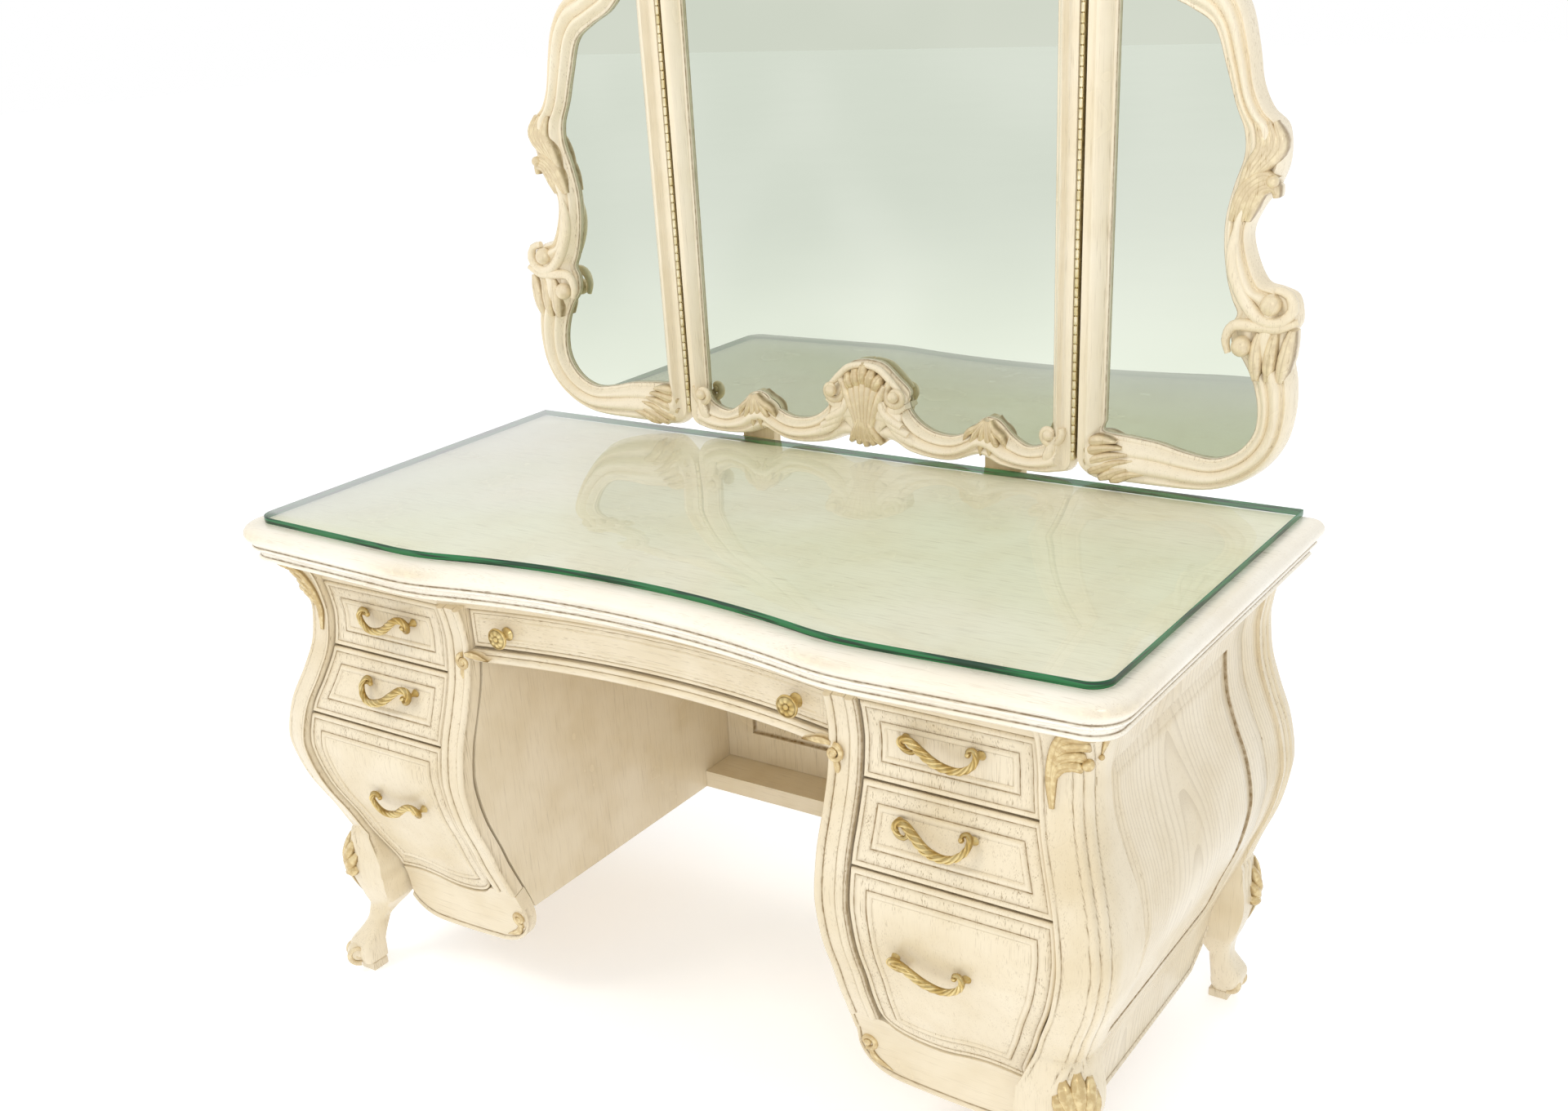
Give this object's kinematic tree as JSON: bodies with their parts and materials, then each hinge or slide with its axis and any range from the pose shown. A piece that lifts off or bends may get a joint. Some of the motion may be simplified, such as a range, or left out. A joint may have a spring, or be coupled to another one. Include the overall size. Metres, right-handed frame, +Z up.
{
  "type": "vanity table with mirror",
  "caption": "Bombé twin-pedestal vanity table with serpentine glass top, drawers in both pedestals and over the kneehole, cabriole feet and a folding carved mirror.",
  "frame": {"origin": "centre of the footprint, on the floor", "axes": "+X to the right of a person who sits at the table, +Y towards the wall behind it, +Z up"},
  "size_m": [1.404, 0.7126, 1.836],
  "materials": {
    "antique_cream_paint": "antique cream paint over wood, brown-gold glaze wiped into the recesses, satin",
    "drawer_wood": "clear-sealed light hardwood, satin",
    "brass": "cast and lightly antiqued, satin",
    "mirror_glass": "silvered plate glass",
    "clear_glass": "clear float glass, polished green edge",
    "backing_board": "stained board, matt"
  },
  "bodies": {
    "desk": {"glass_top": "clear_glass", "top_board": "antique_cream_paint", "front_frieze_rail": "antique_cream_paint", "leg_post_front_left": "antique_cream_paint", "leg_post_back_left": "antique_cream_paint", "side_panel_left": "antique_cream_paint", "kneehole_panel_left": "antique_cream_paint", "inner_stile_left": "antique_cream_paint", "front_apron_left": "antique_cream_paint", "pedestal_back_left": "antique_cream_paint", "drawer_rack_left": "drawer_wood", "leg_post_front_right": "antique_cream_paint", "leg_post_back_right": "antique_cream_paint", "side_panel_right": "antique_cream_paint", "kneehole_panel_right": "antique_cream_paint", "inner_stile_right": "antique_cream_paint", "front_apron_right": "antique_cream_paint", "pedestal_back_right": "antique_cream_paint", "drawer_rack_right": "drawer_wood", "kneehole_arch_rail": "antique_cream_paint", "kneehole_ledge": "antique_cream_paint", "modesty_panel": "antique_cream_paint", "mirror_centre_frame": "antique_cream_paint", "mirror_centre_glass": "mirror_glass", "mirror_centre_back": "backing_board", "mirror_support_frame": "backing_board", "hinge_fixed_leaf_left": "brass", "hinge_pin_left": "brass", "hinge_fixed_leaf_right": "brass", "hinge_pin_right": "brass"},
    "drawer_top_left": {"drawer_front_top_left": "antique_cream_paint", "drawer_box_top_left": "drawer_wood", "drawer_handle_top_left": "brass"},
    "drawer_middle_left": {"drawer_front_middle_left": "antique_cream_paint", "drawer_box_middle_left": "drawer_wood", "drawer_handle_middle_left": "brass"},
    "drawer_bottom_left": {"drawer_front_bottom_left": "antique_cream_paint", "drawer_box_bottom_left": "drawer_wood", "drawer_handle_bottom_left": "brass"},
    "drawer_top_right": {"drawer_front_top_right": "antique_cream_paint", "drawer_box_top_right": "drawer_wood", "drawer_handle_top_right": "brass"},
    "drawer_middle_right": {"drawer_front_middle_right": "antique_cream_paint", "drawer_box_middle_right": "drawer_wood", "drawer_handle_middle_right": "brass"},
    "drawer_bottom_right": {"drawer_front_bottom_right": "antique_cream_paint", "drawer_box_bottom_right": "drawer_wood", "drawer_handle_bottom_right": "brass"},
    "centre_drawer": {"centre_drawer_front": "antique_cream_paint", "centre_drawer_box": "drawer_wood", "centre_knob_left": "brass", "centre_knob_right": "brass"},
    "mirror_wing_left": {"mirror_left_frame": "antique_cream_paint", "mirror_left_glass": "mirror_glass", "mirror_left_back": "backing_board", "hinge_moving_leaf_left": "brass"},
    "mirror_wing_right": {"mirror_right_frame": "antique_cream_paint", "mirror_right_glass": "mirror_glass", "mirror_right_back": "backing_board", "hinge_moving_leaf_right": "brass"}
  },
  "joints": [
    {"name": "drawer_top_left_slide", "type": "slide", "parent": "desk", "child": "drawer_top_left", "axis": [0, -1, 0], "range_m": [0, 0.38]},
    {"name": "drawer_middle_left_slide", "type": "slide", "parent": "desk", "child": "drawer_middle_left", "axis": [0, -1, 0], "range_m": [0, 0.38]},
    {"name": "drawer_bottom_left_slide", "type": "slide", "parent": "desk", "child": "drawer_bottom_left", "axis": [0, -1, 0], "range_m": [0, 0.38]},
    {"name": "drawer_top_right_slide", "type": "slide", "parent": "desk", "child": "drawer_top_right", "axis": [0, -1, 0], "range_m": [0, 0.38]},
    {"name": "drawer_middle_right_slide", "type": "slide", "parent": "desk", "child": "drawer_middle_right", "axis": [0, -1, 0], "range_m": [0, 0.38]},
    {"name": "drawer_bottom_right_slide", "type": "slide", "parent": "desk", "child": "drawer_bottom_right", "axis": [0, -1, 0], "range_m": [0, 0.38]},
    {"name": "centre_drawer_slide", "type": "slide", "parent": "desk", "child": "centre_drawer", "axis": [0, -1, 0], "range_m": [0, 0.33]},
    {"name": "mirror_wing_left_hinge", "type": "hinge", "parent": "desk", "child": "mirror_wing_left", "pos_m": [-0.341, 0.317, 1.193], "axis": [0, 0, 1], "range_deg": [0, 90]},
    {"name": "mirror_wing_right_hinge", "type": "hinge", "parent": "desk", "child": "mirror_wing_right", "pos_m": [0.341, 0.317, 1.193], "axis": [0, 0, -1], "range_deg": [0, 90]}
  ]
}
